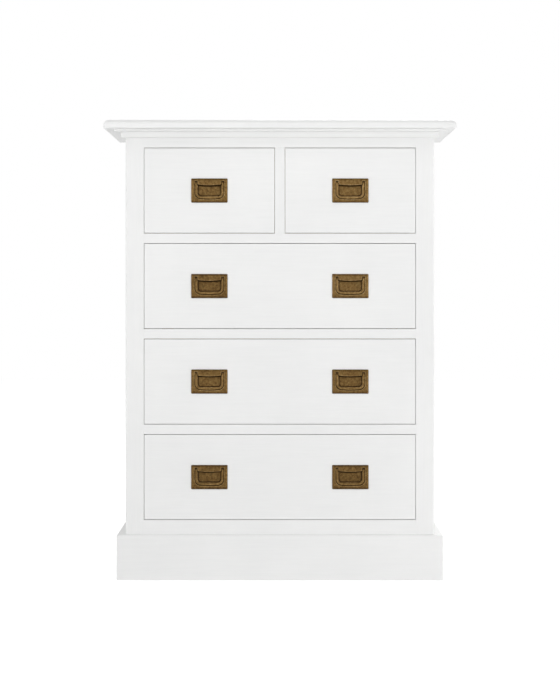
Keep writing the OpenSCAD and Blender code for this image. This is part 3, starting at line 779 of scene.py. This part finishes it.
def bailRings():
    # a flattened round section, x = w |cos a|^p and y = t |sin a|^p with their signs, carried down
    # one arm, round the corners and the bow, and up the other; rubbed in front and at the middle
    look = bailLook
    cornerX, cornerY, bowY, bowRadius = bailCurve()
    up = np.linspace(look["pivotUp"], cornerY, look["armRings"])
    left = np.c_[np.full(len(up), -look["armX"]), up]
    turn = arc((-cornerX, cornerY), look["corner"], 180, 270 - look["bow"], look["cornerSteps"])
    low = arc((0, bowY), bowRadius, 270 - look["bow"], 270, look["bowSteps"])
    half = np.concatenate([left, turn[1:], low[1:]])
    path = np.concatenate([half, half[-2::-1] * (-1, 1)])
    along = np.gradient(path, axis=0)
    along /= np.linalg.norm(along, axis=1, keepdims=True)
    across = np.c_[along[:, 1], -along[:, 0]]
    angle = np.radians(np.arange(look["sectionCount"]) * 360 / look["sectionCount"])
    power = 2 / look["squareness"]
    a = look["halfWidth"] * np.sign(np.cos(angle)) * abs(np.cos(angle)) ** power
    b = look["halfThick"] * np.sign(np.sin(angle)) * abs(np.sin(angle)) ** power
    plane = path[:, None] + across[:, None] * a[None, :, None]
    out = np.broadcast_to(b[None, :, None] + look["pivotOut"], (*plane.shape[:2], 1))
    middle = np.exp(-((path[:, :1] / look["middleReach"]) ** 2)) * (path[:, 1:] < look["middleTop"])
    rub = look["tone"] + look["frontRub"] * b[None] / look["halfThick"] + look["middleRub"] * middle
    return np.concatenate([plane, out], -1), rub


def knuckleRings(side):
    # a lathe profile (along the pivot, radius) turned round the pivot: knuckle, then pin
    look = bailLook
    start, end = look["armX"] - look["halfWidth"], look["armX"] + look["halfWidth"]
    r, step, ease, pin = look["knuckle"], look["knuckleStep"], look["knuckleEase"], look["pin"]
    tip, tipEase = look["pinEnd"], look["pinEase"]
    profile = np.array([(start, r - look["knuckleHollow"]), (start, r - step), (start + ease, r),
                        (end - ease, r), (end, r - step), (end, pin),
                        (tip - tipEase, pin), (tip, pin - tipEase)])
    x, radius = profile[:, :1], profile[:, 1:]
    angle = np.radians(np.arange(look["sectionCount"]) * 360 / look["sectionCount"])
    up, out = look["pivotUp"] + radius * np.cos(angle), look["pivotOut"] + radius * np.sin(angle)
    return np.stack([np.broadcast_to(side * x, up.shape), up, out], -1)


def toFront(points, x, z, frontY):
    # from a pull's own millimetres (right, up, out) to its place on a drawer front
    right, up, out = np.moveaxis(points / 1000, -1, 0)
    return np.stack([x + right, frontY - out, z + up], -1)


def bailShells(x, z, frontY):
    # the bar and its two knuckles, and how rubbed each of their points is
    rings, rub = bailRings()
    knuckles = [knuckleRings(side) for side in (-1, 1)]
    plain = np.full(sum(part[..., 0].size for part in knuckles), bailLook["knuckleTone"])
    shells = [shellOfRings(toFront(part, x, z, frontY)) for part in (rings, *knuckles)]
    return joinShells(shells), np.concatenate([rub.ravel(), plain])


def pieceName(node):
    return node.replace("_", " ").title().replace(" ", "")


def pullsAndBails():
    for number, name in enumerate(drawerNames):
        single = name.startswith("small")
        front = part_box(name + "_front")
        z, frontY = (front[0].z + front[1].z) / 2, front[0].y
        bails = [name + "_bail"] if single else [name + "_bail_left", name + "_bail_right"]
        plates, reliefs = [], []
        for side, (bail, toneOffset) in enumerate(zip(bails, pullToneOffset[name])):
            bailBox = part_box(bail)
            x = (bailBox[0].x + bailBox[1].x) / 2
            points, faces, relief = pullPlate(pullLook["firstSeed"] + 2 * number + side)
            points = toFront(points, x, z, frontY)
            plates.append((points, facesOut(points, faces)))
            reliefs.append(relief + toneOffset)
            shells, rub = bailShells(x, z, frontY)
            makePiece(pieceName(bail), shells, brass, [bail], relief=rub + toneOffset)
        node = name + ("_pull" if single else "_pulls")
        makePiece(pieceName(name) + "Pulls", joinShells(plates), brass, [node],
                  sharpAngle=pullLook["sharpAngle"], relief=np.concatenate(reliefs))


pullsAndBails()
print("pulls and bails done")


# --- screws, in millimetres: right, up and out from the middle of the head's underside ---

screwLook = {"pull": {"head": 4.0, "high": 2.5, "shank": 2.0, "long": 16.5},
             "back": {"head": 4.0, "high": 2.0, "shank": 1.75, "long": 30.0},
             "headShares": [*np.linspace(0.06, 0.62, 12), 0.72, 0.82, 0.91, 0.97, 1.0],
             "turnCount": 48, "fall": 0.45, "recess": 1.1, "arm": 2.3, "slot": 0.42, "slotWall": 0.2,
             "tip": 0.4, "tipLong": 1.0, "sharpAngle": 50.0}


def screwShell(kind):
    # rings from the middle of a domed head out to its rim, back to the shank and along it; a cross is
    # sunk in the dome: height = high(1 - fall (radius / rim)^3) - recess * cross(x, y)
    look, size = screwLook, screwLook[kind]
    angle = np.radians(np.arange(look["turnCount"]) * 360 / look["turnCount"])
    reach = np.array(look["headShares"])[:, None] * size["head"]
    x, y = reach * np.cos(angle), reach * np.sin(angle)
    cross = np.minimum(np.maximum(abs(x) - look["arm"], abs(y) - look["slot"]),
                       np.maximum(abs(y) - look["arm"], abs(x) - look["slot"]))
    dome = size["high"] * (1 - look["fall"] * (reach / size["head"]) ** 3)
    head = np.stack([x, y, dome - look["recess"] * stepDown(cross, look["slotWall"])], -1)
    profile = np.array([(size["head"], 0.0), (size["shank"], 0.0),
                        (size["shank"], look["tipLong"] - size["long"]),
                        (look["tip"] * size["shank"], -size["long"])])
    x, y = profile[:, :1] * np.cos(angle), profile[:, :1] * np.sin(angle)
    return np.concatenate([head, np.stack([x, y, np.broadcast_to(profile[:, 1:], x.shape)], -1)])


def clusterCentres(points, apart):
    # middles of the groups of points that lie nearer to each other than apart
    left, centres = points, []
    while len(left):
        near = np.hypot(*(left - left[0]).T) < apart
        group = left[near]
        centres.append((group.min(0) + group.max(0)) / 2)
        left = left[~near]
    return centres


def placeScrews(node, name, kind):
    # one screw for each in the CAD node, at the middle of its head's points, the furthest back
    points, size = meshPoints(nodes[node].data), screwLook[kind]
    top = points[:, 1].max()
    heads = points[points[:, 1] > top - closeBy][:, [0, 2]]
    right, up, out = np.moveaxis(screwShell(kind) / 1000, -1, 0)
    base = top - size["high"] / 1000
    shells = [shellOfRings(np.stack([x + right, base + out, z + up], -1))
              for x, z in clusterCentres(heads, 3 * size["head"] / 1000)]
    makePiece(name, joinShells(shells), steel, [node], sharpAngle=screwLook["sharpAngle"])


for name in drawerNames:
    placeScrews(name + "_screws", pieceName(name) + "Screws", "pull")
placeScrews("back_screws", "backScrews", "back")
print("screws done")


# --- floor, light and camera ---

stageLook = {"floorHalf": 9.0, "floorColour": 0.90, "seenColour": 0.34, "seenGlow": 0.94,
             "ambient": 0.18, "seenSky": 1.0}
lampLook = {
    "key": {"place": (-2.6, -3.9, 1.5), "aim": (0.0, 0.0, 0.7), "size": 2.2, "power": 61.0},
    "fill": {"place": (3.0, -2.6, 0.45), "aim": (0.1, 0.0, 0.9), "size": 2.0, "power": 60.0},
    "high": {"place": (0.0, -3.0, 4.0), "aim": (0.0, -0.1, 0.8), "size": 3.0, "power": 50.0},
    "over": {"place": (0.0, -1.3, 4.2), "aim": (0.0, -0.1, 0.9), "size": 3.0, "power": 5.0},
    "left": {"place": (-3.2, 0.3, 2.2), "aim": (-0.3, 0.0, 0.4), "size": 2.0, "power": 18.0},
    "right": {"place": (3.0, -0.1, 0.4), "aim": (0.4, 0.0, 1.1), "size": 1.4, "power": 16.0},
    "rear": {"place": (1.0, 3.0, 3.6), "aim": (0.0, 0.0, 0.9), "size": 2.4, "power": 100.0}}
cameraLook = {"place": (0.0, -4.602, 0.771), "lens": 86.9, "sensor": 36.0,
              "shiftX": 0.0002, "shiftY": -0.0929}


def addToScene(name, data):
    made = bpy.data.objects.new(name, data)
    bpy.context.scene.collection.objects.link(made)
    return made


def grey(value):
    return (value, value, value, 1)


def showApart(tree, kind, other, seen):
    # camera, glossy and transmission rays meet the seen finish, all others the other one
    path = addNode(tree, "LightPath").outputs
    rays = combine(tree, "MAXIMUM", path["Is Glossy Ray"], path["Is Transmission Ray"])
    rays = combine(tree, "MAXIMUM", path["Is Camera Ray"], rays)
    mixed = addNode(tree, "MixShader", {0: rays, 1: other, 2: seen}).outputs[0]
    tree.links.new(mixed, addNode(tree, kind).inputs[0])


def makeWorld():
    world = bpy.data.worlds.new("studio")
    bpy.context.scene.world = world
    world.use_nodes = True
    tree = world.node_tree
    tree.nodes.clear()
    ambient, seen = [addNode(tree, "Background", {"Color": grey(1), "Strength": strength}).outputs[0]
                     for strength in (stageLook["ambient"], stageLook["seenSky"])]
    showApart(tree, "OutputWorld", ambient, seen)


def makeFloor():
    # a wide flat sheet that stays white to the camera and keeps the chest's soft shadow
    look = stageLook
    half = look["floorHalf"]
    mesh = bpy.data.meshes.new("floor")
    mesh.from_pydata([(-half, -half, 0), (half, -half, 0), (half, half, 0), (-half, half, 0)],
                     [], [(0, 1, 2, 3)])
    made, tree = newMaterial("studioFloor")
    other = addNode(tree, "BsdfDiffuse", {"Color": grey(look["floorColour"])}).outputs[0]
    lit = addNode(tree, "BsdfDiffuse", {"Color": grey(look["seenColour"])}).outputs[0]
    glow = addNode(tree, "Emission", {"Color": grey(1), "Strength": look["seenGlow"]}).outputs[0]
    showApart(tree, "OutputMaterial", other, addNode(tree, "AddShader", {0: lit, 1: glow}).outputs[0])
    mesh.materials.append(made)
    addToScene("floor", mesh)


def makeLamps():
    # a lamp shines along its own -Z, which is turned from straight down to the way from place to aim
    for name, look in lampLook.items():
        lamp = bpy.data.lights.new(name, "AREA")
        lamp.shape, lamp.size, lamp.energy = "SQUARE", look["size"], look["power"]
        x, y, z = np.array(look["aim"]) - np.array(look["place"])
        holder = addToScene(name, lamp)
        holder.location = look["place"]
        holder.rotation_euler = (math.atan2(math.hypot(x, y), -z), 0, math.atan2(y, x) - math.pi / 2)


def makeCamera():
    look = cameraLook
    lens = bpy.data.cameras.new("camera")
    lens.sensor_width, lens.lens = look["sensor"], look["lens"]
    lens.shift_x, lens.shift_y = look["shiftX"], look["shiftY"]
    camera = addToScene("camera", lens)
    camera.location, camera.rotation_euler = look["place"], (math.pi / 2, 0, 0)
    bpy.context.scene.camera = camera


makeWorld()
makeFloor()
makeLamps()
makeCamera()
bpy.context.scene.view_settings.view_transform = "Standard"
print("stage done")
